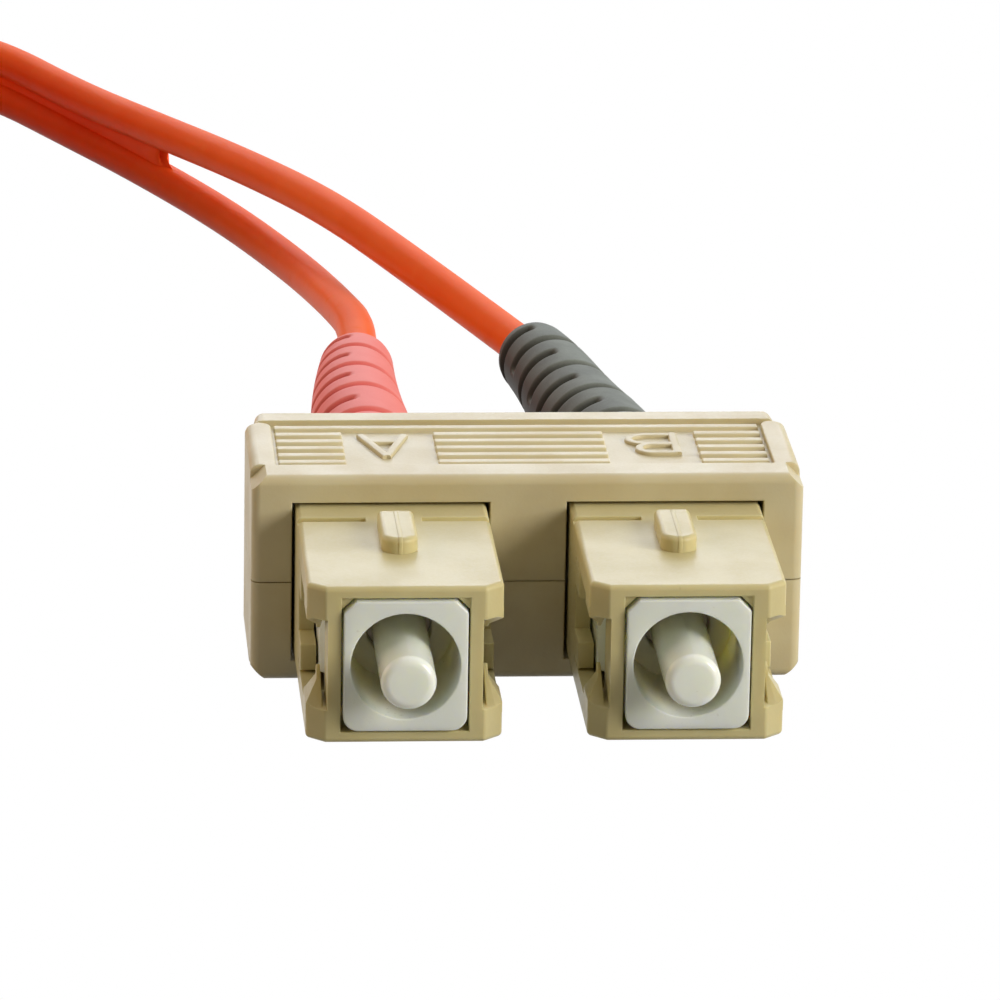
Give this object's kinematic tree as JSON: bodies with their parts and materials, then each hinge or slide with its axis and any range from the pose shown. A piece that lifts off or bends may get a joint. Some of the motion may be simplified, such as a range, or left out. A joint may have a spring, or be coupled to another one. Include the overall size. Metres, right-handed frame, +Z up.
{
  "type": "fibre optic patch cable",
  "caption": "Duplex fibre patch lead: sprung ceramic ferrules in sliding push-pull grips held by a clip at each end, with flexible boots and an orange zip cord in a tied coil.",
  "frame": {"origin": "on the table under the middle of the near connector, halfway from ferrule tips to boot tips", "axes": "+X across the plugs from A to B, +Y from the ferrules towards the cord, +Z up"},
  "size_m": [0.0871, 0.1282, 0.0099],
  "materials": {
    "clip_cream": "satin",
    "housing_beige": "satin",
    "frame_white": "satin",
    "ferrule_ceramic": "polished",
    "flange_metal": "satin",
    "spring_steel": "bright",
    "stop_ring_metal": "plated",
    "crimp_metal": "satin",
    "fibre_buffer": "satin",
    "boot_red": "matt",
    "boot_black": "matt",
    "cord_orange": "satin",
    "tie_black": "matt"
  },
  "bodies": {
    "lead": {"near_plug_frame_a": "frame_white", "near_spring_a": "spring_steel", "near_stop_ring_a": "stop_ring_metal", "near_crimp_sleeve_a": "crimp_metal", "near_buffered_fibre_a": "fibre_buffer", "near_boot_a": "boot_red", "near_plug_frame_b": "frame_white", "near_spring_b": "spring_steel", "near_stop_ring_b": "stop_ring_metal", "near_crimp_sleeve_b": "crimp_metal", "near_buffered_fibre_b": "fibre_buffer", "near_boot_b": "boot_black", "far_plug_frame_a": "frame_white", "far_spring_a": "spring_steel", "far_stop_ring_a": "stop_ring_metal", "far_crimp_sleeve_a": "crimp_metal", "far_buffered_fibre_a": "fibre_buffer", "far_boot_a": "boot_red", "far_plug_frame_b": "frame_white", "far_spring_b": "spring_steel", "far_stop_ring_b": "stop_ring_metal", "far_crimp_sleeve_b": "crimp_metal", "far_buffered_fibre_b": "fibre_buffer", "far_boot_b": "boot_black", "cord_a_near": "cord_orange", "cord_b_near": "cord_orange", "cord_a_far": "cord_orange", "cord_b_far": "cord_orange", "cord_coil": "cord_orange", "coil_tie": "tie_black"},
    "near_grip": {"near_clip_upper": "clip_cream", "near_clip_lower": "clip_cream", "near_housing_a": "housing_beige", "near_housing_b": "housing_beige"},
    "near_ferrule_a_sprung": {"near_ferrule_a": "ferrule_ceramic", "near_ferrule_flange_a": "flange_metal"},
    "near_ferrule_b_sprung": {"near_ferrule_b": "ferrule_ceramic", "near_ferrule_flange_b": "flange_metal"},
    "far_grip": {"far_clip_upper": "clip_cream", "far_clip_lower": "clip_cream", "far_housing_a": "housing_beige", "far_housing_b": "housing_beige"},
    "far_ferrule_a_sprung": {"far_ferrule_a": "ferrule_ceramic", "far_ferrule_flange_a": "flange_metal"},
    "far_ferrule_b_sprung": {"far_ferrule_b": "ferrule_ceramic", "far_ferrule_flange_b": "flange_metal"}
  },
  "joints": [
    {"name": "near_grip_slide", "type": "slide", "parent": "lead", "child": "near_grip", "axis": [0, 1, 0], "range_m": [0, 0.0016]},
    {"name": "near_ferrule_a_slide", "type": "slide", "parent": "lead", "child": "near_ferrule_a_sprung", "axis": [0, 1, 0], "range_m": [0, 0.0012], "stiffness_N_per_m": 5000, "deforming": ["near_spring_a", "near_buffered_fibre_a"]},
    {"name": "near_ferrule_b_slide", "type": "slide", "parent": "lead", "child": "near_ferrule_b_sprung", "axis": [0, 1, 0], "range_m": [0, 0.0012], "stiffness_N_per_m": 5000, "deforming": ["near_spring_b", "near_buffered_fibre_b"]},
    {"name": "far_grip_slide", "type": "slide", "parent": "lead", "child": "far_grip", "axis": [0, 1, 0], "range_m": [0, 0.0016]},
    {"name": "far_ferrule_a_slide", "type": "slide", "parent": "lead", "child": "far_ferrule_a_sprung", "axis": [0, 1, 0], "range_m": [0, 0.0012], "stiffness_N_per_m": 5000, "deforming": ["far_spring_a", "far_buffered_fibre_a"]},
    {"name": "far_ferrule_b_slide", "type": "slide", "parent": "lead", "child": "far_ferrule_b_sprung", "axis": [0, 1, 0], "range_m": [0, 0.0012], "stiffness_N_per_m": 5000, "deforming": ["far_spring_b", "far_buffered_fibre_b"]}
  ]
}
